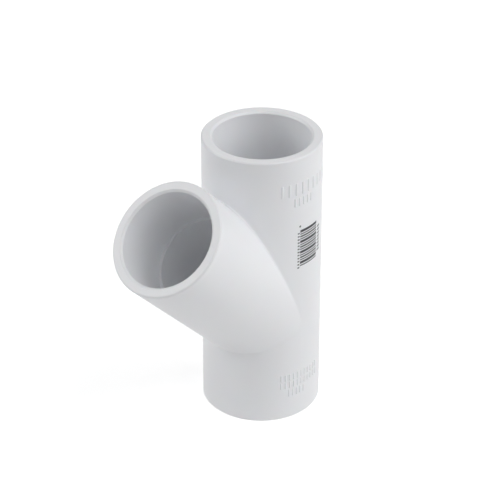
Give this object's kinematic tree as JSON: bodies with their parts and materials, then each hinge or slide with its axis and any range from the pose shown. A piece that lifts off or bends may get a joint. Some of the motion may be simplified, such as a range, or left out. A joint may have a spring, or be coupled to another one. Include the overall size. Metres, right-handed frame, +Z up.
{
  "type": "lateral wye fitting",
  "caption": "Lateral wye pipe fitting: a straight tubular run with a slanted branch growing out of its side, and an open pipe socket with an inner stop at each mouth.",
  "frame": {"origin": "centre of the lower end face of the run, where the run's axis meets it", "axes": "+Z up along the run's axis, the branch leans up and out towards -X, with both axes in the XZ plane"},
  "size_m": [0.0659, 0.033, 0.082],
  "materials": {
    "white_pvc": "satin, as moulded",
    "grey_print": "thin dark print on the moulding"
  },
  "bodies": {
    "root": {"wye_body": "white_pvc"}
  },
  "joints": []
}
